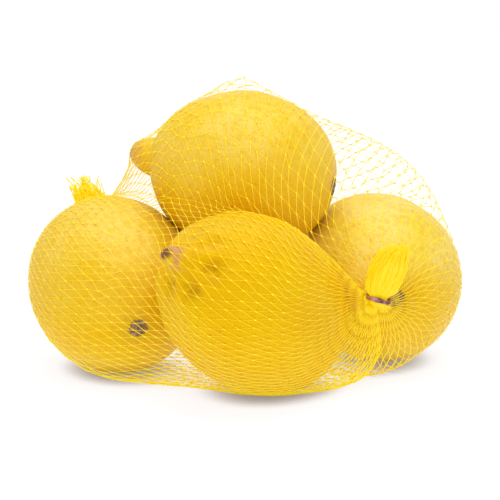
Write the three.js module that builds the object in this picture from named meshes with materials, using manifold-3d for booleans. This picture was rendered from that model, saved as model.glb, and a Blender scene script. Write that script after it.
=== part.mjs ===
// A net of four lemons: three lemons stand on the ground side by side and one lies on top of them.
// One loose-fitting net holds them all. It is gathered into a clip at each end, and a tuft of net
// stands past each clip.
// Millimetres, +Z up, with the origin on the ground under the middle of the bounding box.

import * as THREE from 'three';
import { mergeVertices } from 'three/addons/utils/BufferGeometryUtils.js';
import Module from 'manifold-3d';

const wasm = await Module();
wasm.setup();

// ---- Driving dimensions ----

// Each lemon: the middle of its body, the direction of its nipple end (turn about Z from +X, and rise
// above the ground, in degrees), half the length of its body, its greatest radius, how far the nipple
// stands past the body, and how far the nipple's tip leans sideways and up.
const LEFT_LEMON = {
  centre: [-51.2, 8.6, 33.2], turn: 107, rise: 12.5,
  halfLength: 39.3, radius: 32.9, nipple: 8, lean: [0, 0],
};
const FRONT_LEMON = {
  centre: [3.1, -33.4, 36.1], turn: -130, rise: 34,
  halfLength: 42.6, radius: 32, nipple: 8.5, lean: [-6, -2.5],
};
const RIGHT_LEMON = {
  centre: [52.1, 23.6, 33.1], turn: 98, rise: -1,
  halfLength: 40.4, radius: 33, nipple: 8, lean: [0, 0],
};
const TOP_LEMON = {
  centre: [-0.6, 16.6, 76.5], turn: 167, rise: 6.5,
  halfLength: 36.3, radius: 32.1, nipple: 10, lean: [0, 1],
};
const LEMONS = [LEFT_LEMON, FRONT_LEMON, RIGHT_LEMON, TOP_LEMON];

// A lemon's outline, with places along it as shares of the body's half length.
const BODY_FULLNESS = 0.46; // exponent of the body's profile: 0.5 is an ellipse, and less is blunter
const NIPPLE_RADIUS = 6.5;
const NIPPLE_START = 0.7; // where the nipple starts to part from the body
const NIPPLE_EASE = 0.25; // the stretch over which it grows to its full radius
const NIPPLE_BLUNTNESS = 2.6;
const PROFILE_BLEND = 3; // exponent that blends the nipple into the body
const PROFILE_STEPS = 240;
const LEAN_START = 0.55; // where the axis starts to bend

// The net's surface: its stand-off from the skins, how much it bellies out where it hangs free, the
// share of its pull that runs round it and not from clip to clip, and its grid.
const NET_OFFSET = 0.8;
const NET_SLACK = 0.12;
const PULL_ROUND = 0.15;
const CELLS_ROUND = 52;
const CELLS_ALONG = 50;

// Where the net hangs looser: the middle of each place, its reach, and how much more it bellies out.
const LOOSE_PLACES = [
  { centre: [70, 4, 60], reach: 38, push: 0.35 }, // over the right lemon
  { centre: [54, -14, 4], reach: 26, push: 1.2 }, // under the front clip
  { centre: [14, -30, 0], reach: 24, push: 0.6 }, // under the front lemon
  { centre: [-62, -8, 2], reach: 30, push: 0.6 }, // at the foot of the left lemon
];

// The net is shrunk on from a wide ball, in small steps.
const BALL_CENTRE = [0, 2.6, 50];
const BALL_RADIUS = 135;
const SHRINK_ROUNDS = 900;
const SHRINK_STEP = 0.8;

// The two gathered ends: where the clip sits, the way the tuft points, the step from the clip back to
// where the net's surface closes, and the tuft's size.
const FRONT_GATHER = {
  at: [50.3, -29.4, 37], points: [0.12, -0.1, 0.99], toNet: [0, 7.5, -7],
  length: 26, width: 21, depth: 9,
};
const BACK_GATHER = {
  at: [-61.7, 57.6, 50], points: [-0.16, 0.05, 0.98], toNet: [5, -11, -6],
  length: 16.5, width: 14, depth: 9,
};

// The bunched neck of net in a clip, and the folded tuft above it.
const NECK_WIDTH = 6.6;
const NECK_DEPTH = 2.9;
const NECK_BELOW = 7; // how far it runs on below the middle of the clip, as it spreads in to the net
const SKIRT_SPREAD = 2; // how much wider the bunch is at its lower end
const TUFT_FOLDS = 7;
const FOLD_DEPTH = 0.2; // as a share of the tuft's half width
const TUFT_FULL_AT = 0.8; // the share of its length by which the tuft has reached its full width
const RAGGED_WAVES = 3;
const RAGGED_HEIGHT = 0.08; // unevenness of the tuft's edge, as a share of its length
const TUFT_DIP = 0.9; // height of the middle of the tuft's end, as a share of its length
const TUFT_SIDES = 42;
const TUFT_RINGS = 12;

// The clips: an oval band of metal round each neck.
const CLIP_HEIGHT = 2.2;
const CLIP_WALL = 1.3;
const CLIP_ARC_STEPS = 8;
const CLIP_GAP = 0.35; // clearance between a clip and the net it closes

const JOIN_TOLERANCE = 0.02; // the finest detail that a join keeps

// ---- Lemon shape ----

function direction(turn, rise) {
  const t = THREE.MathUtils.degToRad(turn);
  const r = THREE.MathUtils.degToRad(rise);
  return new THREE.Vector3(Math.cos(r) * Math.cos(t), Math.cos(r) * Math.sin(t), Math.sin(r));
}

// The radius of a lemon at the distance x from the middle of its body, positive towards the nipple.
function profileRadius(spec, x) {
  const a = spec.halfLength;
  const body = spec.radius * Math.max(1 - (x / a) ** 2, 0) ** BODY_FULLNESS;
  const start = NIPPLE_START * a;
  const along = THREE.MathUtils.clamp((x - start) / (a + spec.nipple - start), 0, 1);
  const ease = THREE.MathUtils.clamp((x - start) / (NIPPLE_EASE * a), 0, 1);
  const nipple = NIPPLE_RADIUS * Math.sqrt(1 - along ** NIPPLE_BLUNTNESS) * ease;
  return (body ** PROFILE_BLEND + nipple ** PROFILE_BLEND) ** (1 / PROFILE_BLEND);
}

// A lemon as its own three axes, and its reach: pairs of an angle from the axis and the distance of the
// skin from the centre at that angle.
function makeLemon(spec) {
  const axis = direction(spec.turn, spec.rise);
  const side = new THREE.Vector3(0, 0, 1).cross(axis).normalize();
  const up = axis.clone().cross(side);
  const reach = [];
  for (let i = 0; i <= PROFILE_STEPS; i += 1) {
    const share = (1 - Math.cos((Math.PI * i) / PROFILE_STEPS)) / 2;
    const x = spec.halfLength + spec.nipple - share * (2 * spec.halfLength + spec.nipple);
    const radius = i === PROFILE_STEPS ? 0 : profileRadius(spec, x);
    reach.push([Math.atan2(radius, x), Math.hypot(radius, x)]);
  }
  return { ...spec, middle: new THREE.Vector3(...spec.centre), axis, side, up, reach };
}

function reachAt(lemon, angle) {
  const list = lemon.reach;
  let low = 0;
  let high = list.length - 1;
  while (high - low > 1) {
    const middle = (low + high) >> 1;
    if (list[middle][0] <= angle) {
      low = middle;
    } else {
      high = middle;
    }
  }
  const share = THREE.MathUtils.inverseLerp(list[low][0], list[high][0], angle);
  return THREE.MathUtils.lerp(list[low][1], list[high][1], THREE.MathUtils.clamp(share, 0, 1));
}

// The shift of a lemon's axis at the distance x, which makes its nipple lean.
function leanAt(lemon, x) {
  const start = LEAN_START * lemon.halfLength;
  const share = THREE.MathUtils.clamp((x - start) / (lemon.halfLength + lemon.nipple - start), 0, 1);
  const shift = lemon.side.clone().multiplyScalar(share ** 2 * lemon.lean[0]);
  return shift.addScaledVector(lemon.up, share ** 2 * lemon.lean[1]);
}

// Moves a point that is inside a lemon, or nearer than the net's stand-off, out to the stand-off.
function pushOut(lemon, point) {
  const ray = point.clone().sub(lemon.middle);
  const lean = leanAt(lemon, ray.dot(lemon.axis));
  ray.sub(lean);
  const distance = ray.length();
  const least = reachAt(lemon, ray.angleTo(lemon.axis)) + NET_OFFSET;
  if (distance < least) {
    point.copy(lemon.middle).add(lean).addScaledVector(ray, least / distance);
  }
}

// ---- The net's surface ----

// The starting ball, as rows of points from the back gather to the front one. Its two poles are rows
// whose points all lie where the net closes.
function ballRows(back, front) {
  const pole = front.clone().sub(back).normalize();
  const across = new THREE.Vector3(0, 0, 1).cross(pole).normalize();
  const over = pole.clone().cross(across);
  const rows = [];
  for (let j = 0; j <= CELLS_ALONG; j += 1) {
    const tilt = (Math.PI * j) / CELLS_ALONG;
    const row = [];
    for (let i = 0; i < CELLS_ROUND; i += 1) {
      const turn = (2 * Math.PI * i) / CELLS_ROUND;
      const ray = pole.clone().multiplyScalar(-Math.cos(tilt));
      ray.addScaledVector(across, Math.sin(tilt) * Math.cos(turn));
      ray.addScaledVector(over, Math.sin(tilt) * Math.sin(turn));
      row.push(new THREE.Vector3(...BALL_CENTRE).addScaledVector(ray, BALL_RADIUS));
    }
    rows.push(row);
  }
  rows[0].forEach((point) => point.copy(back));
  rows[CELLS_ALONG].forEach((point) => point.copy(front));
  return rows;
}

// How much the net bellies out at a point.
function bellyAt(point) {
  return LOOSE_PLACES.reduce((sum, place) => {
    const distance = point.distanceTo(new THREE.Vector3(...place.centre));
    return sum + place.push * Math.exp(-((distance / place.reach) ** 2));
  }, NET_SLACK);
}

// The net, shrunk onto the lemons: each round draws every point towards its neighbours, lets it belly
// out where it is far from the gathers, and keeps it off the lemons and above the ground.
function netRows(lemons) {
  const rows = ballRows(netEnd(BACK_GATHER), netEnd(FRONT_GATHER));
  for (let round = 0; round < SHRINK_ROUNDS; round += 1) {
    for (let j = 1; j < CELLS_ALONG; j += 1) {
      const freedom = Math.sin((Math.PI * j) / CELLS_ALONG) ** 2;
      for (let i = 0; i < CELLS_ROUND; i += 1) {
        const east = rows[j][(i + 1) % CELLS_ROUND];
        const west = rows[j][(i + CELLS_ROUND - 1) % CELLS_ROUND];
        const north = rows[j + 1][i];
        const south = rows[j - 1][i];
        const target = east.clone().add(west).multiplyScalar(PULL_ROUND / 2);
        target.addScaledVector(north.clone().add(south), (1 - PULL_ROUND) / 2);
        const outward = east.clone().sub(west).cross(north.clone().sub(south)).normalize();
        const point = rows[j][i];
        target.addScaledVector(outward, freedom * bellyAt(point));
        point.lerp(target, SHRINK_STEP);
        lemons.forEach((lemon) => pushOut(lemon, point));
        point.z = Math.max(point.z, 0);
      }
    }
  }
  return rows;
}

// A closed body from rings of points: each end is closed by a fan to its own middle point.
function loft(rings, firstTip, lastTip) {
  const sides = rings[0].length;
  const points = [firstTip, ...rings.flat(), lastTip];
  const at = (j, i) => 1 + j * sides + (i % sides);
  const index = [];
  for (let i = 0; i < sides; i += 1) {
    index.push(0, at(0, i + 1), at(0, i));
    index.push(points.length - 1, at(rings.length - 1, i), at(rings.length - 1, i + 1));
    for (let j = 0; j + 1 < rings.length; j += 1) {
      index.push(at(j, i), at(j, i + 1), at(j + 1, i + 1));
      index.push(at(j, i), at(j + 1, i + 1), at(j + 1, i));
    }
  }
  const geometry = new THREE.BufferGeometry().setFromPoints(points);
  geometry.setIndex(index);
  return geometry;
}

// ---- Gathered ends ----

// Where the net's own surface closes to a point, behind and below the clip.
function netEnd(gather) {
  return new THREE.Vector3(...gather.at).add(new THREE.Vector3(...gather.toNet));
}

// The axes of a gathered end: X across the clip, Y through it and Z up along the tuft.
function gatherFrame(gather) {
  const up = new THREE.Vector3(...gather.points).normalize();
  const across = new THREE.Vector3(0, 1, 0).cross(up).normalize();
  const through = up.clone().cross(across);
  return new THREE.Matrix4().makeBasis(across, through, up).setPosition(...gather.at);
}

// The bunched neck that runs through the clip, and the folded tuft of loose net that flares above it.
function neckAndTuft(gather) {
  const frame = gatherFrame(gather);
  const toNet = netEnd(gather).applyMatrix4(frame.clone().invert());
  const rings = [];
  for (let j = 0; j < TUFT_RINGS; j += 1) {
    const z = THREE.MathUtils.lerp(-NECK_BELOW, gather.length, j / (TUFT_RINGS - 1));
    const flare = THREE.MathUtils.smoothstep(z, CLIP_HEIGHT, gather.length * TUFT_FULL_AT);
    const spread = THREE.MathUtils.smoothstep(-z, CLIP_HEIGHT, NECK_BELOW);
    const skirt = THREE.MathUtils.lerp(1, SKIRT_SPREAD, spread);
    const halfWidth = THREE.MathUtils.lerp(NECK_WIDTH * skirt, gather.width, flare) / 2;
    const halfDepth = THREE.MathUtils.lerp(NECK_DEPTH * skirt, gather.depth, flare) / 2;
    const ring = [];
    for (let i = 0; i < TUFT_SIDES; i += 1) {
      const turn = (2 * Math.PI * i) / TUFT_SIDES;
      const fold = 1 + FOLD_DEPTH * flare * Math.cos(TUFT_FOLDS * turn);
      const ragged = RAGGED_HEIGHT * gather.length * flare * Math.cos(RAGGED_WAVES * turn + 1);
      const x = halfWidth * fold * Math.cos(turn) + spread * toNet.x;
      const y = halfDepth * fold * Math.sin(turn) + spread * toNet.y;
      ring.push(new THREE.Vector3(x, y, z + ragged));
    }
    rings.push(ring);
  }
  const lowTip = new THREE.Vector3(toNet.x, toNet.y, -NECK_BELOW - 1);
  const highTip = new THREE.Vector3(0, 0, TUFT_DIP * gather.length);
  return loft(rings, lowTip, highTip).applyMatrix4(frame);
}

function ovalPath(path, width, depth) {
  const r = depth / 2;
  const straight = width / 2 - r;
  path.moveTo(-straight, -r);
  path.lineTo(straight, -r);
  path.absarc(straight, 0, r, -Math.PI / 2, Math.PI / 2, false);
  path.lineTo(-straight, r);
  path.absarc(-straight, 0, r, Math.PI / 2, (3 * Math.PI) / 2, false);
  return path;
}

// A clip's oval band, with clearance between its inside and the bunched net.
function clipBand(gather) {
  const width = NECK_WIDTH + 2 * CLIP_GAP;
  const depth = NECK_DEPTH + 2 * CLIP_GAP;
  const shape = ovalPath(new THREE.Shape(), width + 2 * CLIP_WALL, depth + 2 * CLIP_WALL);
  shape.holes.push(ovalPath(new THREE.Path(), width, depth));
  const options = { depth: CLIP_HEIGHT, bevelEnabled: false, curveSegments: CLIP_ARC_STEPS };
  const band = new THREE.ExtrudeGeometry(shape, options);
  band.translate(0, 0, -CLIP_HEIGHT / 2);
  return band.applyMatrix4(gatherFrame(gather));
}

// ---- Joins ----

function toManifold(geometry) {
  const merged = mergeVertices(geometry);
  const vertProperties = merged.attributes.position.array;
  const triVerts = new Uint32Array(merged.index.array);
  const tolerance = JOIN_TOLERANCE;
  return new wasm.Manifold(new wasm.Mesh({ numProp: 3, vertProperties, triVerts, tolerance }));
}

function toGeometry(solid) {
  const mesh = solid.getMesh();
  const geometry = new THREE.BufferGeometry();
  const positions = new Float32Array(mesh.vertProperties);
  geometry.setAttribute('position', new THREE.BufferAttribute(positions, 3));
  geometry.setIndex(new THREE.BufferAttribute(new Uint32Array(mesh.triVerts), 1));
  return geometry;
}

// ---- The three pieces ----

// The net is one piece from tuft to tuft, and it is solid out to its surface over the lemons.
function netWithLemons() {
  const rows = netRows(LEMONS.map(makeLemon));
  const surface = loft(rows.slice(1, CELLS_ALONG), rows[0][0], rows[CELLS_ALONG][0]);
  const solid = toManifold(surface)
    .add(toManifold(neckAndTuft(FRONT_GATHER)))
    .add(toManifold(neckAndTuft(BACK_GATHER)));
  return toGeometry(solid);
}

function makePiece(name, geometry, color, roughness, metalness) {
  const mesh = new THREE.Mesh(geometry, new THREE.MeshStandardMaterial({ color, roughness, metalness }));
  mesh.name = name;
  return mesh;
}

const group = new THREE.Group();
group.add(makePiece('net_with_lemons', netWithLemons(), '#f7cf1c', 0.45, 0));
group.add(makePiece('front_clip', clipBand(FRONT_GATHER), '#c9c3c2', 0.35, 1));
group.add(makePiece('back_clip', clipBand(BACK_GATHER), '#c9c3c2', 0.35, 1));

export default group;
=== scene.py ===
import math

import bpy
import numpy as np
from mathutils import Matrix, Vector


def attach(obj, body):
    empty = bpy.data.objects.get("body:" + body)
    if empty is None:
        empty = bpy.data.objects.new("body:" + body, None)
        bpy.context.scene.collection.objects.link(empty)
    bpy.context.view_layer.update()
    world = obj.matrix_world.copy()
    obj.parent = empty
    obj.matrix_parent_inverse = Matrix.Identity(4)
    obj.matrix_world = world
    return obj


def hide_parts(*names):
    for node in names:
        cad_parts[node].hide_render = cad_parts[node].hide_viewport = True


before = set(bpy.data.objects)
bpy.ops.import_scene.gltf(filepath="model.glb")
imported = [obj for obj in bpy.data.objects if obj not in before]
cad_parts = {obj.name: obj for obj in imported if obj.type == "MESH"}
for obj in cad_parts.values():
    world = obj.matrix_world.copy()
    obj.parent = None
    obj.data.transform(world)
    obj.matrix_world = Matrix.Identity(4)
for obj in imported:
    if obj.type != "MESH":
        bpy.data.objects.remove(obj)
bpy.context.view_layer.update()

# Lengths below are millimetres in the frame's axes, and make_mesh turns them into metres.
MM = 0.001
UP = np.array([0.0, 0.0, 1.0])
RNG = np.random.default_rng(41)

# ---- Driving dimensions ----

# Each lemon, as the CAD model has it: the middle of its body, the direction of its nipple end (turn
# about Z from +X, and rise above the ground, in degrees), half the length of its body, its greatest
# radius, how far the nipple stands past the body, and how far its tip leans sideways and up. The rest
# is its own: the radius of the nipple, how deep the furrow round it is (which also sets the painted
# shade in it) and where it is deepest, how deep the stem end is sunk and how large its button is, how
# much paler tone and painted sheen on its upper side the skin has, and how brown the tip is.
LEMONS = {
    "left": dict(centre=(-51.2, 8.6, 33.2), turn=107, rise=12.5, half=39.3, radius=32.9,
                 nipple=8.0, lean=(0, 0), nipple_radius=6.5, furrow=0.6, furrow_turn=2.2,
                 sink=0.9, button=1.0, pale_and_sheen=0.62, tip=0.7),
    "front": dict(centre=(3.1, -33.4, 36.1), turn=-130, rise=34, half=42.6, radius=32.0,
                  nipple=8.5, lean=(-6, -2.5), nipple_radius=6.3, furrow=2.8, furrow_turn=-0.7,
                  sink=1.6, button=1.1, pale_and_sheen=0.0, tip=1.0),
    "right": dict(centre=(52.1, 23.6, 33.1), turn=98, rise=-1, half=40.4, radius=33.0,
                  nipple=8.0, lean=(0, 0), nipple_radius=6.5, furrow=0.6, furrow_turn=2.2,
                  sink=1.6, button=1.0, pale_and_sheen=1.25, tip=0.7),
    "top": dict(centre=(-0.6, 16.6, 76.5), turn=167, rise=6.5, half=36.3, radius=32.1,
                nipple=10.0, lean=(0, 1), nipple_radius=8.8, furrow=0.5, furrow_turn=-1.0,
                sink=1.0, button=1.0, pale_and_sheen=0.65, tip=0.6),
}

# The lemon's outline: a full body, run together with a blunt nipple, and bent toward the nipple's tip.
BODY_FULLNESS = 0.46
NIPPLE_START = 0.7
NIPPLE_EASE = 0.25
NIPPLE_BLUNTNESS = 2.6
PROFILE_BLEND = 3
PROFILE_STEPS = 600
LEAN_START = 0.55

# Its skin: height, slowest wave, fastest wave and count of waves, for broad lumps and for small ones.
BROAD_LUMPS = (0.45, 1.5, 3.5, 7)
SMALL_LUMPS = (0.16, 7, 14, 12)
RIB_COUNT = 5
RIB_HEIGHT = 0.3
STEM_DIP_ANGLE = 0.13
FURROW_FROM_AXIS = 11
FURROW_WIDTH = 3.6

# Its mesh: rings lie closer together at its two ends, at these angles from the nipple.
LEMON_RINGS = 180
LEMON_SIDES = 200
RING_SHARES = (0, 0.12, 0.24, 0.88, 1)
RING_ANGLES = (0, 0.14, 0.42, 2.85, math.pi)

# How far back from the end of the nipple its brown tip and its blush start to fade, and are gone.
TIP_FADE = (0.6, 2.1)
BLUSH_FADE = (3, 9)
STEM_END_REACH = 6.0

# The dried button at the stem end: radius and height of each ring.
BUTTON_PROFILE = [(0.25, 0.15), (0.75, 0.55), (1.3, 0.75), (1.9, 0.35), (2.5, 0.6), (3.1, 0.55),
                  (3.5, 0.2), (3.4, -0.4), (2.0, -1.0)]
BUTTON_SIDES = 60
BUTTON_LIFT = 0.2
BUTTON_ROUND_WITHIN = 1.5  # its rings are round up to this radius, and star-shaped past it

# The net: knots in rows from the back gather to the front one, every second row half a cell round.
# A coarser net, of SLACK_ROUND by SLACK_ROWS, finds the shape that the knots then lie on.
KNOTS_ROUND = 92
ROWS = 44
SLACK_ROUND = 70
SLACK_ROWS = 50
SLACK_CENTRE = (0, 2.6, 50)
SLACK_START = (105, 95, 90)
SLACK_SWEEPS = 420
FAST_SWEEPS = 300
FAST_STEP = 1.6
FINER = 4
OPEN_SPACING = 3.2  # knots closer together than this look smaller
CROWDED_SHARE = 0.22
KNOT_STRAY = 0.12  # how far knots stray from even places, in cells
KNOT_OFFSET = 0.38  # from a lemon's skin to the middle of a knot
STRAND_RADII = (0.06, 0.1)  # halfway along a strand, for each of the two ways that strands run
STRAND_END_RADII = (0.1, 0.15)
KNOT_RADIUS = 0.27
KNOT_LENGTH = 1.1
KNOT_SIDES = 6
KNOT_HEIGHTS = (-0.6, 0.0, 0.6)
KNOT_WIDTHS = (1.15, 0.85)  # along the net and out from it
KNOT_SIZES = (0.8, 1.25)
STRAND_SIDES = 5
SKIN_GAP = 0.06  # between a lemon's skin and the middle of a strand
FLOOR_GAP = 0.05
STRAND_FLOOR_GAP = 0.02
NET_BELLY = 0.03
STRAND_UNEVENNESS = 0.45

# Where the net hangs loose: the middle of each place, how far it reaches, and how hard it bellies out.
LOOSE_PLACES = [
    ((72, 4, 60), 42, 1.5),     # beside the top lemon, over the right one
    ((54, -14, 4), 28, 3.0),    # under the front clip
    ((14, -30, 0), 24, 0.7),    # under the front lemon
    ((-62, -8, 2), 30, 1.1),    # at the foot of the left lemon
    ((-64, 35, 66), 22, 0.08),  # from the top lemon to the back clip
    ((-78, 30, 46), 18, 0.15),  # over the left lemon's shoulder
]

# Where its cells are drawn together into narrow ones, and where they are held open, in the same way.
NARROW_PLACES = [
    ((12, -62, 22), 40, 0.7),   # over the front lemon
    ((-34, -34, 12), 34, 0.4),  # between the left lemon and the front one
]
WIDE_PLACES = [
    ((70, 4, 60), 34, 0.3),     # beside the top lemon, over the right one
    ((0, 16, 100), 40, 0.3),    # over the top lemon
]

# Where its strands look thicker, bunched together or doubled.
THICK_PLACES = [
    ((54, -26, 10), 22, 0.8),   # below the front clip
]
THICKER_LOW = 0.6
LOW_HEIGHTS = (1, 9)

# A fold that stands up over the top lemon: its middle, its reach and its height.
LOOSE_FOLD = ((-2, 14, 109), 10.5, 5.5)

# The gathered ends, as the CAD model has them.
GATHERS = {
    "front": dict(at=(50.3, -29.4, 37.0), points=(0.12, -0.1, 0.99), turn_sign=1, length=24.5,
                  widths=(5.4, 7.4, 4.6), depths=(2.8, 3.8, 3.2), shift=4.8, bunches=7, ragged=0.24,
                  core=(0.86, 0.78), filaments=430, wild=0.5),
    "back": dict(at=(-61.7, 57.6, 50.0), points=(-0.16, 0.05, 0.98), turn_sign=-1, length=18.0,
                 widths=(4.4, 6.8, 8.6), depths=(2.4, 3.6, 4.4), shift=-1.8, bunches=11, ragged=0.55,
                 core=(0.5, 0.35), filaments=230, wild=1.7),
}
NECK_HALF_WIDTH = 3.1
NECK_HALF_DEPTH = 1.3
NECK_TURN_IN = 2.4  # where the net's last row lies, below the middle of the clip
NECK_OPENS = (0.5, 3.5)  # heights over which the neck widens to the tuft
FULLEST = 0.45
TUFT_BEND = 1.2

# The tufts past the clips, as single filaments round a fluted core.
FILAMENT_STEPS = 13
FILAMENT_RADIUS = 0.2
FILAMENT_KNOT = 1.5
FILAMENT_SWAY = 0.12
BUNCH_PULL = 1.3
CORE_RINGS = 14
CORE_SIDES = 48

# The clips: how far the band's middle stands off the neck, its half thickness and half height.
CLIP_OFF = (1.2, 0.9)
CLIP_BAND = (0.5, 0.72)
CLIP_LAP = 0.5
CLIP_OVERLAP = 0.25
CLIP_CRIMPS = 9
CLIP_CRIMP_DEPTH = 0.12
CLIP_STEPS = 96
CLIP_SIDES = 14

# The camera: its height angle, its distance from the point it looks at, and its lens.
CAMERA_RISE = 12.85
CAMERA_DISTANCE = 952.0
CAMERA_TARGET = (1.98, -12.4, 51.85)
CAMERA_LENS = 179.6

# The light: the studio's own, then where each lamp stands in metres, and its power.
STUDIO_LIGHT = 0.68
LAMPS = {"top_light": ((0.05, 0.15, 1.2), 6.6), "front_light": ((-0.1, -1.2, 0.9), 3.2)}
LAMP_SIZE = (1.0, 0.8)
LAMP_AIM = (0, 0, 0.05)
FLOOR_HALF = 6.0


# ---- Small helpers ----

def unit(v):
    v = np.asarray(v, float)
    return v / np.linalg.norm(v, axis=-1, keepdims=True)


def smooth(x, low, high):
    t = np.clip((x - low) / (high - low), 0, 1)
    return t * t * (3 - 2 * t)


def make_mesh(name, points, faces, material):
    """A smooth-shaded object from points in millimetres and a list or array of faces."""
    mesh = bpy.data.meshes.new(name)
    faces = faces.tolist() if isinstance(faces, np.ndarray) else faces
    mesh.from_pydata((np.asarray(points) * MM).tolist(), [], faces)
    mesh.validate()
    mesh.polygons.foreach_set("use_smooth", np.ones(len(mesh.polygons), bool))
    mesh.materials.append(material)
    obj = bpy.data.objects.new(name, mesh)
    bpy.context.scene.collection.objects.link(obj)
    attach(obj, "root")
    return obj


def add_mask(obj, name, values):
    mask = obj.data.attributes.new(name, "FLOAT", "POINT")
    mask.data.foreach_set("value", np.asarray(values, np.float32))


def lumps(directions, seed, height, lowest, highest, count):
    """Smooth uneven bumps over a ball of directions."""
    rng = np.random.default_rng(seed)
    total = np.zeros(directions.shape[:-1])
    for _ in range(count):
        wave = unit(rng.normal(size=3)) * rng.uniform(lowest, highest)
        total += np.cos(directions @ wave + rng.uniform(0, 2 * math.pi))
    return height * (total / math.sqrt(count))


# ---- Lemon shape ----

class Lemon:
    """A lemon as the distance of its skin from its centre in each direction."""

    def __init__(self, name, spec, seed):
        self.name = name
        self.spec = spec
        self.seed = seed
        turn, rise = math.radians(spec["turn"]), math.radians(spec["rise"])
        self.axis = np.array([math.cos(rise) * math.cos(turn), math.cos(rise) * math.sin(turn),
                              math.sin(rise)])
        self.side = unit(np.cross(UP, self.axis))
        self.up = np.cross(self.axis, self.side)
        self.centre = np.array(spec["centre"], float)
        share = (1 - np.cos(np.linspace(0, math.pi, PROFILE_STEPS))) / 2
        x = spec["half"] + spec["nipple"] - share * (2 * spec["half"] + spec["nipple"])
        r = self.profile(x)
        r[-1] = 0
        self.angles = np.arctan2(r, x)
        self.reaches = np.hypot(r, x)

    def profile(self, x):
        half, nipple = self.spec["half"], self.spec["nipple"]
        body = self.spec["radius"] * np.clip(1 - (x / half) ** 2, 0, None) ** BODY_FULLNESS
        start = NIPPLE_START * half
        along = np.clip((x - start) / (half + nipple - start), 0, 1)
        ease = np.clip((x - start) / (NIPPLE_EASE * half), 0, 1)
        tip = self.spec["nipple_radius"] * np.sqrt(1 - along ** NIPPLE_BLUNTNESS) * ease
        return (body ** PROFILE_BLEND + tip ** PROFILE_BLEND) ** (1 / PROFILE_BLEND)

    def lean(self, x):
        start = LEAN_START * self.spec["half"]
        share = np.clip((x - start) / (self.spec["half"] + self.spec["nipple"] - start), 0, 1) ** 2
        sideways, upward = self.spec["lean"]
        return share[..., None] * (sideways * self.side + upward * self.up)

    def unevenness(self, directions):
        """Lumps, flattish facets and the slight ribs that run down from the nipple."""
        broad = lumps(directions, self.seed, *BROAD_LUMPS)
        small = lumps(directions, self.seed + 1, *SMALL_LUMPS)
        x = directions @ self.axis
        turn = np.arctan2(directions @ self.up, directions @ self.side)
        ribs = RIB_HEIGHT * np.cos(RIB_COUNT * turn + self.seed)
        return broad + small + ribs * smooth(x, 0.55, 0.9) * smooth(-x, -0.995, -0.95)

    def reach(self, directions):
        """Distance to the skin from the bent axis, for unit directions."""
        angle = np.arccos(np.clip(directions @ self.axis, -1, 1))
        base = np.interp(angle, self.angles, self.reaches)
        stem = np.exp(-((math.pi - angle) / STEM_DIP_ANGLE) ** 2)
        return base + self.unevenness(directions) - self.spec["sink"] * stem

    def push_out(self, points, gap):
        """Moves points that are nearer to the skin than the gap out to it."""
        ray = points - self.centre
        lean = self.lean(ray @ self.axis)
        ray = ray - lean
        distance = np.linalg.norm(ray, axis=-1)
        least = self.reach(ray / distance[..., None]) + gap
        scale = np.maximum(least / distance, 1)
        return self.centre + lean + ray * scale[..., None]


def ring_faces(rings, sides):
    """Quads between rings of points that are closed round."""
    j, i = np.meshgrid(np.arange(rings - 1), np.arange(sides), indexing="ij")
    a, b = j * sides + i, j * sides + (i + 1) % sides
    return np.stack([a, b, b + sides, a + sides], -1).reshape(-1, 4)


def capped_faces(rings, sides):
    """The same, closed at both ends by two tip points that follow the rings."""
    count = rings * sides
    this = np.arange(sides)
    following = (this + 1) % sides
    last = count - sides
    first_cap = np.stack([np.full(sides, count), following, this], -1)
    last_cap = np.stack([np.full(sides, count + 1), last + this, last + following], -1)
    return ring_faces(rings, sides).tolist() + first_cap.tolist() + last_cap.tolist()


def around(axis_one, axis_two, turn):
    """Unit directions at each turn, in the plane of two axes."""
    return np.cos(turn)[..., None] * axis_one + np.sin(turn)[..., None] * axis_two


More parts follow.
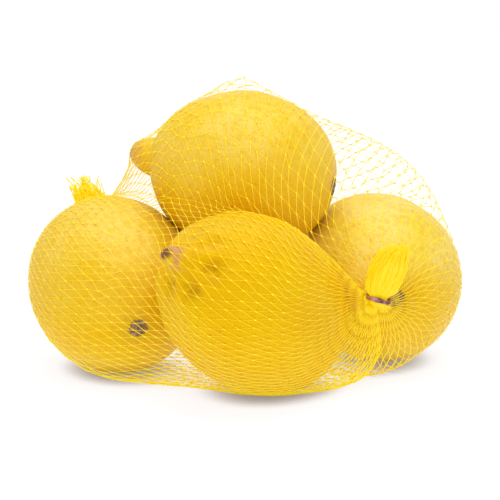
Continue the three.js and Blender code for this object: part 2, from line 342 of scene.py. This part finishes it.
def lemon_object(lemon, material):
    """The fruit's mesh, with masks for its coloured ends, the painted shade in its furrow, and its
    paler tone with a painted sheen on its upper side.
    """
    spec = lemon.spec
    angle = np.interp(np.linspace(0, 1, LEMON_RINGS), RING_SHARES, RING_ANGLES)[1:-1, None, None]
    turn = np.linspace(0, 2 * math.pi, LEMON_SIDES, endpoint=False)
    directions = np.cos(angle) * lemon.axis + np.sin(angle) * around(lemon.side, lemon.up, turn)
    directions = np.vstack([directions.reshape(-1, 3), lemon.axis, -lemon.axis])
    reach = lemon.reach(directions)
    along = reach * (directions @ lemon.axis)
    off_axis = np.sqrt(np.maximum(reach ** 2 - along ** 2, 0))
    # The furrow round the foot of the nipple, deeper on one side, with small dents beside it.
    turn = np.arctan2(directions @ lemon.up, directions @ lemon.side)
    foot = np.exp(-((off_axis - FURROW_FROM_AXIS) / FURROW_WIDTH) ** 2) * (along > 0)
    dents = 0.5 + 0.5 * np.cos(turn - spec["furrow_turn"])
    dents = dents * (0.7 + 0.6 * np.cos(6 * turn + lemon.seed)) + 0.2 * np.cos(3 * turn + lemon.seed)
    ray = directions * (reach - spec["furrow"] * foot * dents)[:, None]
    points = lemon.centre + ray + lemon.lean(ray @ lemon.axis)
    points[:, 2] = np.maximum(points[:, 2], 0)
    faces = [face[::-1] for face in capped_faces(LEMON_RINGS - 2, LEMON_SIDES)]
    obj = make_mesh(f"lemon_{lemon.name}", points, faces, material)
    from_end = spec["half"] + spec["nipple"] - along
    add_mask(obj, "tip", spec["tip"] * (1 - smooth(from_end, *TIP_FADE)))
    add_mask(obj, "blush", spec["tip"] * (1 - smooth(from_end, *BLUSH_FADE)))
    # Painted shade in the dents of the furrow, stronger where the furrow is deeper.
    add_mask(obj, "furrow_shade", spec["furrow"] / 3 * foot * np.clip(dents, 0, 1))
    add_mask(obj, "stem_end", (along < 0) * np.exp(-(off_axis / STEM_END_REACH) ** 2))
    # A paler tone over each lemon, and a painted sheen that grows stronger toward its top.
    height = (points[:, 2] - lemon.centre[2]) / spec["radius"]
    add_mask(obj, "pale_and_sheen", spec["pale_and_sheen"] * (0.2 + 0.9 * smooth(height, -0.3, 1.0)))
    return obj


def stem_button(lemon, material):
    """The dried star of the calyx, sunk in the fruit's stem end."""
    turn = np.linspace(0, 2 * math.pi, BUTTON_SIDES, endpoint=False)
    rng = np.random.default_rng(lemon.seed + 5)
    star = 1 + 0.1 * np.cos(5 * turn + rng.uniform(0, 6)) + 0.05 * np.cos(11 * turn + 1)
    base = lemon.centre - lemon.axis * (lemon.reach(-lemon.axis[None])[0] + BUTTON_LIFT)
    points = []
    for radius, height in BUTTON_PROFILE:
        wide = radius * lemon.spec["button"] * (star if radius > BUTTON_ROUND_WITHIN else 1)
        ring = around(lemon.side, lemon.up, turn) * np.broadcast_to(wide, turn.shape)[:, None]
        uneven = height + 0.12 * np.cos(7 * turn + radius * 3)
        points.extend(base + ring - uneven[:, None] * lemon.axis)
    points += [base - lemon.axis * 0.25, base + lemon.axis]
    faces = capped_faces(len(BUTTON_PROFILE), BUTTON_SIDES)
    return make_mesh(f"stem_button_{lemon.name}", np.array(points), faces, material)


# ---- The net's shape ----

def gather_axes(gather):
    up = unit(gather["points"])
    across = unit(np.cross((0, 1, 0), up))
    return across, np.cross(up, across), up


def in_gather(gather, x, y, z):
    """Points given in a gathered end's own axes."""
    across, through, up = gather_axes(gather)
    x, y, z = np.broadcast_arrays(x, y, z)
    return (np.array(gather["at"]) + x[..., None] * across + y[..., None] * through
            + z[..., None] * up)


def neck_ring(gather, count):
    """The net's knots where they are bunched under a clip, some of them inside the bunch."""
    turn = 2 * math.pi * np.arange(count) / count
    fill = np.sqrt(RNG.uniform(0.25, 1, count))
    x = NECK_HALF_WIDTH * fill * np.cos(turn)
    y = NECK_HALF_DEPTH * fill * np.sin(turn) * gather["turn_sign"]
    return in_gather(gather, x, y, -NECK_TURN_IN)


def near_places(points, places):
    """The strength of a list of places at each point."""
    total = np.zeros(points.shape[:-1])
    for centre, reach, strength in places:
        distance = np.linalg.norm(points - np.array(centre), axis=-1)
        total += strength * np.exp(-(distance / reach) ** 2)
    return total[..., None]


def knots_on(net):
    """The net's own knots on the relaxed shape: even along its length, and closer or wider round it."""
    finer = FINER * SLACK_ROUND
    turns = np.arange(finer) / finer
    shape = np.empty((SLACK_ROWS + 1, finer, 3))
    for j, row in enumerate(net):
        own = (np.arange(SLACK_ROUND) + 0.5 * (j % 2)) / SLACK_ROUND
        for axis in range(3):
            shape[j, :, axis] = np.interp(turns, own, row[:, axis], period=1)
    length = np.cumsum(np.linalg.norm(np.diff(shape, axis=0), axis=-1), axis=0)
    length = np.vstack([np.zeros((1, finer)), length])
    stray = RNG.uniform(-KNOT_STRAY, KNOT_STRAY, (ROWS + 1, KNOTS_ROUND))
    even = np.empty((ROWS + 1, finer, 3))
    for m in range(finer):
        share = length[:, m] / length[-1, m]
        for axis in range(3):
            even[:, m, axis] = np.interp(np.arange(ROWS + 1) / ROWS, share, shape[:, m, axis])
    closeness = 1 + near_places(even, NARROW_PLACES)[..., 0] - near_places(even, WIDE_PLACES)[..., 0]
    step = np.linalg.norm(np.roll(even, -1, axis=1) - even, axis=-1)
    round_it = np.cumsum(step * (closeness + np.roll(closeness, -1, axis=1)) / 2, axis=1)
    knots = np.empty((ROWS + 1, KNOTS_ROUND, 3))
    for j in range(ROWS + 1):
        at = (np.arange(KNOTS_ROUND) + 0.5 * (j % 2) + stray[j]) / KNOTS_ROUND
        ring = np.vstack([even[j], even[j, :1]])
        along = np.concatenate([[0], round_it[j]]) / round_it[j, -1]
        for axis in range(3):
            knots[j, :, axis] = np.interp(at % 1, along, ring[:, axis])
    return knots


def relax_net(lemons):
    """Shrinks a ball of knots onto the lemons, as a taut net that bellies out where it hangs free."""
    front, back = GATHERS["front"], GATHERS["back"]
    first = neck_ring(back, SLACK_ROUND)
    final = neck_ring(front, SLACK_ROUND)
    pole = unit(final.mean(0) - first.mean(0))
    across = unit(np.cross(UP, pole))
    over = np.cross(pole, across)
    net = np.zeros((SLACK_ROWS + 1, SLACK_ROUND, 3))
    for j in range(SLACK_ROWS + 1):
        tilt = math.pi * j / SLACK_ROWS
        turn = 2 * math.pi * (np.arange(SLACK_ROUND) + 0.5 * (j % 2)) / SLACK_ROUND
        ball = -math.cos(tilt) * pole + math.sin(tilt) * around(across, over, turn)
        net[j] = np.array(SLACK_CENTRE) + ball * np.array(SLACK_START)
    net[0], net[SLACK_ROWS] = first, final
    rise = RNG.uniform(1 - STRAND_UNEVENNESS, 1 + STRAND_UNEVENNESS, (SLACK_ROWS, SLACK_ROUND, 2, 1))
    inner = np.sin(math.pi * np.arange(SLACK_ROWS + 1) / SLACK_ROWS)[:, None, None] ** 2
    for sweep in range(SLACK_SWEEPS):
        step = FAST_STEP if sweep < FAST_SWEEPS else 1.0
        for parity in (1, 0):
            rows = np.arange(1, SLACK_ROWS)
            rows = rows[rows % 2 == parity]
            shift = 1 - parity  # an odd row's neighbours are at the same place and the next one
            above = [np.roll(net[rows + 1], shift - end, axis=1) for end in (0, 1)]
            below = [np.roll(net[rows - 1], shift - end, axis=1) for end in (0, 1)]
            pulls = [rise[rows, :, 0], rise[rows, :, 1], np.roll(rise[rows - 1, :, 1], shift, axis=1),
                     np.roll(rise[rows - 1, :, 0], shift - 1, axis=1)]
            target = sum(w * p for w, p in zip(pulls, above + below)) / sum(pulls)
            outward = np.cross(above[1] - above[0] + below[1] - below[0],
                               above[0] + above[1] - below[0] - below[1])
            size = np.linalg.norm(outward, axis=-1, keepdims=True)
            belly = inner[rows] * (NET_BELLY + near_places(net[rows], LOOSE_PLACES))
            target += outward / np.maximum(size, 1e-9) * belly
            moved = net[rows] + step * (target - net[rows])
            for lemon in lemons:
                moved = lemon.push_out(moved, KNOT_OFFSET)
            moved[..., 2] = np.maximum(moved[..., 2], KNOT_RADIUS + FLOOR_GAP)
            net[rows] = moved
    net = knots_on(net)
    net[0] = neck_ring(back, KNOTS_ROUND)
    net[-1] = neck_ring(front, KNOTS_ROUND)
    for lemon in lemons:
        net[1:-1] = lemon.push_out(net[1:-1], KNOT_OFFSET)
    net[..., 2] = np.maximum(net[..., 2], KNOT_RADIUS + FLOOR_GAP)
    return net + near_places(net, [LOOSE_FOLD]) * UP


def tuft_halves(gather, up):
    """How far up the tuft each height is, how open it is there, and its half width and half depth."""
    risen = np.clip(up / gather["length"], 0, 1)
    out = smooth(up, *NECK_OPENS)
    necks = (NECK_HALF_WIDTH, NECK_HALF_DEPTH)
    wide, deep = [neck + out * (np.interp(risen, [0, FULLEST, 1], gather[sizes]) - neck)
                  for neck, sizes in zip(necks, ("widths", "depths"))]
    return risen, out, wide, deep


def tuft_paths(gather):
    """Filaments from the neck, through the clip, and up the tuft, where they part into bunches."""
    count, bunches, ragged = gather["filaments"], gather["bunches"], gather["ragged"]
    turn = RNG.uniform(0, 2 * math.pi, count)
    fill = np.sqrt(RNG.uniform(0, 1, count))
    bunch = RNG.integers(bunches, size=count)
    bunch_turn = 2 * math.pi * (bunch + RNG.uniform(-0.3, 0.3, bunches)[bunch]) / bunches
    bunch_height = 1 - ragged * RNG.uniform(0, 1, bunches)[bunch]
    height = bunch_height * (1 - ragged * RNG.uniform(0, 1, count) ** 2)
    share = np.linspace(0, 1, FILAMENT_STEPS)[None]
    start = NECK_TURN_IN + 1
    up = -start + share * (height[:, None] * gather["length"] + start)
    risen, out, wide, deep = tuft_halves(gather, up)
    drawn = ragged * smooth(risen, 0.3, 1)
    pulled = BUNCH_PULL * drawn
    turn, bunch_turn, fill = turn[:, None], bunch_turn[:, None], fill[:, None]
    across = fill * ((1 - drawn) * np.cos(turn) + pulled * np.cos(bunch_turn))
    through = fill * ((1 - drawn) * np.sin(turn) + pulled * np.sin(bunch_turn))
    sway = RNG.uniform(0, 2 * math.pi, (count, 2, 1))
    loose = out * (FILAMENT_SWAY + gather["wild"] * ragged * risen)
    bend = gather["shift"] * risen ** TUFT_BEND
    x = wide * across + bend + loose * np.sin(9 * risen + sway[:, 0])
    y = deep * through * gather["turn_sign"] + loose * np.sin(11 * risen + sway[:, 1])
    return in_gather(gather, x, y, up)


# ---- The net's meshes ----

def row_links():
    """The strands between rows: the knots at their two ends, and which way they run."""
    links = []
    i = np.arange(KNOTS_ROUND)
    for j in range(ROWS):
        here, there = j * KNOTS_ROUND, (j + 1) * KNOTS_ROUND
        for side in (0, 1):
            end = (i + side - 1 + j % 2) % KNOTS_ROUND
            links.append(np.stack([here + i, there + end, np.full_like(i, side)], -1))
    return np.concatenate(links)


def tubes(paths, radii):
    """Closed tubes along many paths of the same number of points, as one set of points and faces."""
    count, steps = paths.shape[:2]
    along = unit(np.gradient(paths, axis=1))
    helper = np.where(np.abs(along[..., 2:]) < 0.9, UP, np.array([1.0, 0, 0]))
    helper = np.broadcast_to(helper[:, :1], along.shape)
    side = unit(np.cross(along, helper))
    turn = 2 * math.pi * np.arange(STRAND_SIDES) / STRAND_SIDES
    ring = around(side[:, :, None], np.cross(along, side)[:, :, None], turn)
    points = paths[:, :, None] + ring * np.asarray(radii)[..., None, None]
    each = steps * STRAND_SIDES
    base = each * np.arange(count)[:, None, None]
    quads = (ring_faces(steps, STRAND_SIDES)[None] + base).reshape(-1, 4)
    start_cap = np.arange(STRAND_SIDES)[::-1] + base[:, 0]
    end_cap = np.arange(each - STRAND_SIDES, each) + base[:, 0]
    return points.reshape(-1, 3), quads.tolist() + start_cap.tolist() + end_cap.tolist()


def knot_blobs(points, along, outward, sizes):
    """A long flattish bead at each knot, as one set of points and faces."""
    side = unit(np.cross(outward, along))
    normal = np.cross(along, side)
    turn = 2 * math.pi * np.arange(KNOT_SIDES) / KNOT_SIDES
    size = RNG.uniform(*KNOT_SIZES, (len(points), 1, 1)) * sizes[:, None, None]
    wide, thick = KNOT_WIDTHS
    ring = around(side[:, None] * wide, normal[:, None] * thick, turn)
    end = along[:, None] * KNOT_LENGTH / 2
    rings = [ring * KNOT_RADIUS * math.sqrt(1 - height ** 2) + height * end for height in KNOT_HEIGHTS]
    blob = points[:, None] + size * np.concatenate([*rings, -end, end], axis=1)
    one = capped_faces(len(KNOT_HEIGHTS), KNOT_SIDES)
    faces = []
    for corners in (4, 3):
        shape = np.array([face for face in one if len(face) == corners])
        base = blob.shape[1] * np.arange(len(points))[:, None, None]
        faces += (shape[None] + base).reshape(-1, corners).tolist()
    return blob.reshape(-1, 3), faces


def net_objects(net, lemons, material):
    """The taut part of the net, as three joined meshes: two families of strands, and the knots."""
    knots = net.reshape(-1, 3)
    spacing = np.linalg.norm(np.roll(net, -1, axis=1) - net, axis=-1).reshape(-1)
    open_share = np.clip(spacing / OPEN_SPACING, CROWDED_SHARE, 1)
    links = row_links()
    starts, ends = knots[links[:, 0]], knots[links[:, 1]]
    middles = (starts + ends) / 2
    for lemon in lemons:
        middles = lemon.push_out(middles, max(STRAND_RADII) + SKIN_GAP)
    middles[:, 2] = np.maximum(middles[:, 2], max(STRAND_RADII) + STRAND_FLOOR_GAP)
    made = []
    thick = [1 + near_places(p, THICK_PLACES)[:, 0]
             + THICKER_LOW * (1 - smooth(p[:, 2], *LOW_HEIGHTS)) for p in (starts, middles, ends)]
    thick[0] = thick[0] * np.sqrt(open_share[links[:, 0]])
    thick[2] = thick[2] * np.sqrt(open_share[links[:, 1]])
    for side, name in enumerate(("net_strands_left_hand", "net_strands_right_hand")):
        own = links[:, 2] == side
        paths = np.stack([starts[own], middles[own], ends[own]], axis=1)
        end = STRAND_END_RADII[side]
        radii = np.stack(thick, axis=1)[own] * np.array([end, STRAND_RADII[side], end])
        points, faces = tubes(paths, radii)
        made.append(make_mesh(name, points, faces, material))
    along = np.zeros_like(net)
    along[1:-1] = net[2:] - net[:-2]
    along[0], along[-1] = net[1] - net[0], net[-1] - net[-2]
    round_way = np.roll(net, -1, axis=1) - np.roll(net, 1, axis=1)
    outward = unit(np.cross(round_way, along) + 1e-6)
    rows = slice(1, ROWS)
    points, faces = knot_blobs(net[rows].reshape(-1, 3), unit(along[rows]).reshape(-1, 3),
                               outward[rows].reshape(-1, 3), open_share[KNOTS_ROUND:-KNOTS_ROUND])
    made.append(make_mesh("net_knots", points, faces, material))
    return made


def tuft_core(gather):
    """The closely packed middle of a tuft, as a fluted closed body."""
    width_share, height_share = gather["core"]
    turn = 2 * math.pi * np.arange(CORE_SIDES) / CORE_SIDES
    top = height_share * gather["length"]
    up = np.linspace(0, top, CORE_RINGS)[:, None]
    risen, _, wide, deep = tuft_halves(gather, up)
    flute = 1 + 0.07 * np.cos(11 * turn + 2 * risen) + 0.05 * np.cos(17 * turn)
    taper = width_share * (1 - 0.5 * smooth(up, 0.75 * top, 1.02 * top))
    x = wide * taper * flute * np.cos(turn) + gather["shift"] * risen ** TUFT_BEND
    y = deep * taper * flute * np.sin(turn)
    points = in_gather(gather, x, y, up).reshape(-1, 3)
    tips = in_gather(gather, np.array([0, gather["shift"] * height_share ** TUFT_BEND]), 0,
                     np.array([-0.2, top + 0.8]))
    return np.vstack([points, tips]), capped_faces(CORE_RINGS, CORE_SIDES)


def tuft_object(name, gather, material):
    """The bunched neck and the tuft past the clip, its filaments thicker where they were knotted."""
    paths = tuft_paths(gather)
    place = np.arange(FILAMENT_STEPS)[None] + RNG.integers(3, size=(len(paths), 1))
    radii = FILAMENT_RADIUS * np.where(place % 3 == 0, FILAMENT_KNOT, 1.0)
    points, faces = tubes(paths, radii)
    core_points, core_faces = tuft_core(gather)
    faces += [[index + len(points) for index in face] for face in core_faces]
    return make_mesh(name, np.vstack([points, core_points]), faces, material)


def squarish(turn, power):
    """The cosine and sine of each turn, on a ring with flattened sides."""
    return [np.sign(wave) * np.abs(wave) ** power for wave in (np.cos(turn), np.sin(turn))]


def clip_object(name, gather, material):
    """A crimped flat wire bent round the neck, with its two ends lapped at the front."""
    up = gather_axes(gather)[2]
    t = np.linspace(0, 1, CLIP_STEPS)
    turn = -math.pi / 2 - CLIP_OVERLAP + t * (2 * math.pi + 2 * CLIP_OVERLAP)
    lap = CLIP_LAP * smooth(t, 0.9, 1.0)
    wide, deep = NECK_HALF_WIDTH + CLIP_OFF[0] + lap, NECK_HALF_DEPTH + CLIP_OFF[1] + lap
    cosine, sine = squarish(turn, 0.8)
    x, y = wide * cosine, deep * sine
    z = 0.25 * np.sin(3 * turn) + 0.3 * np.sin(turn + 1) + 0.5 * (t - 0.5) - 0.15 * x
    path = in_gather(gather, x, y, z)
    along = unit(np.gradient(path, axis=0))
    outward = unit(np.cross(along, up))
    lift = np.cross(outward, along)
    crimp = 1 + CLIP_CRIMP_DEPTH * np.cos(2 * math.pi * CLIP_CRIMPS * t)
    flat, tall = squarish(2 * math.pi * np.arange(CLIP_SIDES) / CLIP_SIDES, 0.7)
    rings = (path[:, None] + CLIP_BAND[0] * flat[None, :, None] * (outward * crimp[:, None])[:, None]
             + CLIP_BAND[1] * tall[None, :, None] * lift[:, None])
    tips = [path[0] - along[0] * 0.3, path[-1] + along[-1] * 0.3]
    points = np.vstack([rings.reshape(-1, 3), *tips])
    return make_mesh(name, points, capped_faces(CLIP_STEPS, CLIP_SIDES), material)


# ---- Materials ----

class Nodes:
    """Short calls that build a material's nodes."""

    def __init__(self, name):
        self.material = bpy.data.materials.new(name)
        self.material.use_nodes = True
        self.tree = self.material.node_tree
        self.bsdf = self.tree.nodes["Principled BSDF"]
        coordinates = self.tree.nodes.new("ShaderNodeTexCoord")
        scale = self.tree.nodes.new("ShaderNodeVectorMath")
        scale.operation = "SCALE"
        scale.inputs["Scale"].default_value = 1 / MM
        self.tree.links.new(coordinates.outputs["Object"], scale.inputs[0])
        self.position = scale.outputs[0]

    def set(self, **values):
        for name, value in values.items():
            self.bsdf.inputs[name.replace("_", " ")].default_value = value

    def link(self, output, socket):
        self.tree.links.new(output, self.bsdf.inputs[socket])

    def noise(self, size, detail, rough=0.5):
        node = self.tree.nodes.new("ShaderNodeTexNoise")
        node.inputs["Scale"].default_value = 1 / size
        node.inputs["Detail"].default_value = detail
        node.inputs["Roughness"].default_value = rough
        self.tree.links.new(self.position, node.inputs["Vector"])
        return node.outputs["Fac"]

    def cells(self, size):
        """The distance from the middle of the nearest cell."""
        node = self.tree.nodes.new("ShaderNodeTexVoronoi")
        node.inputs["Scale"].default_value = 1 / size
        self.tree.links.new(self.position, node.inputs["Vector"])
        return node.outputs["Distance"]

    def ramp(self, value, low, high, out_low, out_high):
        """Eases from one value to another as the input goes from low to high."""
        node = self.tree.nodes.new("ShaderNodeMapRange")
        node.interpolation_type = "SMOOTHSTEP"
        node.inputs["From Min"].default_value = low
        node.inputs["From Max"].default_value = high
        node.inputs["To Min"].default_value = out_low
        node.inputs["To Max"].default_value = out_high
        self.tree.links.new(value, node.inputs["Value"])
        return node.outputs["Result"]

    def times(self, first, second):
        node = self.tree.nodes.new("ShaderNodeMath")
        node.operation = "MULTIPLY"
        for socket, value in zip(node.inputs, (first, second)):
            if isinstance(value, (int, float)):
                socket.default_value = value
            else:
                self.tree.links.new(value, socket)
        return node.outputs[0]

    def mix(self, factor, first, second):
        node = self.tree.nodes.new("ShaderNodeMix")
        node.data_type = "RGBA"
        self.tree.links.new(factor, node.inputs["Factor"])
        colour_sockets = [s for s in node.inputs if s.type == "RGBA"]
        for socket, value in zip(colour_sockets, (first, second)):
            if isinstance(value, tuple):
                socket.default_value = (*value, 1)
            else:
                self.tree.links.new(value, socket)
        return [s for s in node.outputs if s.type == "RGBA"][0]

    def openness(self, distance):
        """How open the surroundings are within a distance in millimetres."""
        node = self.tree.nodes.new("ShaderNodeAmbientOcclusion")
        node.inputs["Distance"].default_value = distance * MM
        return node.outputs["AO"]

    def mask(self, name):
        """The values that add_mask gave the object under a name."""
        node = self.tree.nodes.new("ShaderNodeAttribute")
        node.attribute_name = name
        return node.outputs["Fac"]

    def bump(self, height, strength, distance, before=None):
        node = self.tree.nodes.new("ShaderNodeBump")
        node.inputs["Strength"].default_value = strength
        node.inputs["Distance"].default_value = distance * MM
        self.tree.links.new(height, node.inputs["Height"])
        if before is not None:
            self.tree.links.new(before, node.inputs["Normal"])
        return node.outputs["Normal"]


def srgb(red, green, blue):
    """A colour of 0 to 255 as a linear one."""
    def linear(value):
        value /= 255
        return value / 12.92 if value <= 0.04045 else ((value + 0.055) / 1.055) ** 2.4
    return tuple(linear(value) for value in (red, green, blue))


def skin_material():
    n = Nodes("lemon_skin")
    patch = n.ramp(n.noise(26, 3), 0.35, 0.65, 0, 1)
    golden = n.mix(patch, srgb(236, 188, 2), srgb(240, 196, 5))
    # The paler colour gives the lemon's paler tone and, toward its top, a painted sheen.
    pale_and_sheen = n.mix(patch, srgb(247, 219, 70), srgb(250, 228, 126))
    colour = n.mix(n.mask("pale_and_sheen"), golden, pale_and_sheen)
    mottle = n.ramp(n.noise(2.6, 4, 0.6), 0.42, 0.7, 0, 0.5)
    colour = n.mix(mottle, colour, srgb(238, 184, 8))
    pores = n.cells(1.15)
    dots = n.ramp(pores, 0.06, 0.26, 0.5, 0)
    colour = n.mix(dots, colour, srgb(228, 172, 6))
    rare = n.ramp(n.noise(11, 2), 0.5, 0.62, 0, 0.7)
    speck = n.times(n.ramp(n.cells(5.5), 0.03, 0.085, 1, 0), rare)
    colour = n.mix(speck, colour, srgb(150, 104, 30))
    blush = n.times(n.mask("blush"), n.ramp(n.noise(4.5, 3), 0.36, 0.56, 0, 0.9))
    colour = n.mix(blush, colour, srgb(212, 150, 104))
    # Painted shade darkens the furrow round the nipple.
    furrow_shade = n.times(n.mask("furrow_shade"), n.ramp(n.noise(3.0, 3), 0.35, 0.6, 0.1, 0.75))
    colour = n.mix(furrow_shade, colour, srgb(196, 142, 12))
    tip = n.times(n.mask("tip"), n.ramp(n.noise(1.6, 3), 0.25, 0.5, 0.6, 1))
    colour = n.mix(tip, colour, srgb(124, 74, 62))
    colour = n.mix(n.times(n.mask("stem_end"), 0.5), colour, srgb(176, 132, 30))
    n.link(colour, "Base Color")
    n.link(n.ramp(n.noise(8, 3), 0.3, 0.7, 0.4, 0.52), "Roughness")
    coarse = n.bump(n.noise(2.2, 3), 0.35, 0.5)
    n.link(n.bump(n.ramp(pores, 0.0, 0.5, 0, 1), 0.7, 0.28, coarse), "Normal")
    n.set(Subsurface_Weight=0.15, Subsurface_Scale=0.003, Specular_IOR_Level=0.5,
          Specular_Tint=(1.0, 0.75, 0.08, 1))
    n.bsdf.inputs["Subsurface Radius"].default_value = (1.0, 0.8, 0.14)
    return n.material


def net_material():
    n = Nodes("net_plastic")
    colour = n.mix(n.ramp(n.noise(14, 2), 0.35, 0.65, 0, 1), srgb(255, 222, 2), srgb(255, 230, 22))
    n.link(colour, "Base Color")
    n.link(n.bump(n.noise(0.5, 2), 0.3, 0.1), "Normal")
    # The emission is a painted glow that brightens the strands, as light passing through the plastic
    # would.
    n.set(Roughness=0.34, Specular_IOR_Level=0.5, Subsurface_Weight=0.25, Subsurface_Scale=0.001,
          Emission_Color=(1.0, 0.72, 0.0, 1), Emission_Strength=0.15)
    n.bsdf.inputs["Subsurface Radius"].default_value = (1.0, 0.9, 0.15)
    return n.material


def stem_material():
    n = Nodes("dry_stem")
    colour = n.mix(n.ramp(n.noise(0.9, 4), 0.35, 0.65, 0, 1), srgb(112, 80, 58), srgb(178, 148, 116))
    n.link(colour, "Base Color")
    n.link(n.bump(n.noise(0.6, 4), 0.8, 0.4), "Normal")
    n.set(Roughness=0.8)
    return n.material


def clip_material():
    n = Nodes("clip_metal")
    # Patches of pink and of dark brown paint highlights and dark reflections into the clip's colour.
    colour = n.mix(n.ramp(n.noise(2.5, 4), 0.35, 0.7, 0, 1), srgb(200, 144, 166), srgb(104, 66, 62))
    n.link(colour, "Base Color")
    n.link(n.ramp(n.noise(1.5, 3), 0.3, 0.7, 0.22, 0.42), "Roughness")
    n.link(n.bump(n.noise(0.7, 3), 0.35, 0.15), "Normal")
    n.set(Metallic=1.0)
    return n.material


def floor_material():
    n = Nodes("floor")
    # The floor glows to stay white, and the glow dims where the lemons close it in, painting a darker
    # shade round their feet; a warm base under a bluish glow is set so that its shadows come out grey.
    n.set(Base_Color=(0.42, 0.33, 0.24, 1), Roughness=0.8, Specular_IOR_Level=0.0,
          Emission_Color=(0.65, 0.75, 0.85, 1))
    n.link(n.ramp(n.openness(12), 0.0, 0.6, 0.25, 1), "Emission Strength")
    return n.material


# ---- Camera, floor and light ----

def add_camera():
    rise = math.radians(CAMERA_RISE)
    target = Vector(CAMERA_TARGET) * MM
    back = Vector((0, -math.cos(rise), math.sin(rise)))
    data = bpy.data.cameras.new("camera")
    data.lens = CAMERA_LENS
    data.sensor_width = 36
    data.clip_start, data.clip_end = 0.05, 20
    camera = bpy.data.objects.new("camera", data)
    camera.location = target + back * CAMERA_DISTANCE * MM
    camera.rotation_euler = (-back).to_track_quat("-Z", "Y").to_euler()
    bpy.context.scene.collection.objects.link(camera)
    bpy.context.scene.camera = camera


def add_floor(material):
    mesh = bpy.data.meshes.new("floor")
    corners = [(x * FLOOR_HALF, y * FLOOR_HALF, 0) for x, y in ((-1, -1), (1, -1), (1, 1), (-1, 1))]
    mesh.from_pydata(corners, [], [(0, 1, 2, 3)])
    mesh.materials.append(material)
    floor = bpy.data.objects.new("floor", mesh)
    bpy.context.scene.collection.objects.link(floor)


def add_lamp(name, location, power):
    data = bpy.data.lights.new(name, "AREA")
    data.shape = "RECTANGLE"
    data.size, data.size_y = LAMP_SIZE
    data.energy = power
    light = bpy.data.objects.new(name, data)
    light.location = location
    light.rotation_euler = (Vector(LAMP_AIM) - Vector(location)).to_track_quat("-Z", "Y").to_euler()
    bpy.context.scene.collection.objects.link(light)


def add_lights():
    world = bpy.data.worlds.new("studio")
    world.use_nodes = True
    background = world.node_tree.nodes["Background"].inputs
    background["Color"].default_value = (1, 1, 1, 1)
    background["Strength"].default_value = STUDIO_LIGHT
    bpy.context.scene.world = world
    for name, (location, power) in LAMPS.items():
        add_lamp(name, location, power)


# ---- The scene ----

bpy.context.scene.view_settings.view_transform = "Standard"
add_camera()
add_floor(floor_material())
add_lights()

skin, plastic, dry, metal = skin_material(), net_material(), stem_material(), clip_material()
lemons = [Lemon(name, spec, 10 * index + 3) for index, (name, spec) in enumerate(LEMONS.items())]
for lemon in lemons:
    lemon_object(lemon, skin)
    stem_button(lemon, dry)

net = relax_net(lemons)
net_pieces = net_objects(net, lemons, plastic)
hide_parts("net_with_lemons")
for name, gather in GATHERS.items():
    tuft_object(f"{name}_tuft", gather, plastic)
    clip = clip_object(f"{name}_crimped_clip", gather, metal)
    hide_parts(f"{name}_clip")
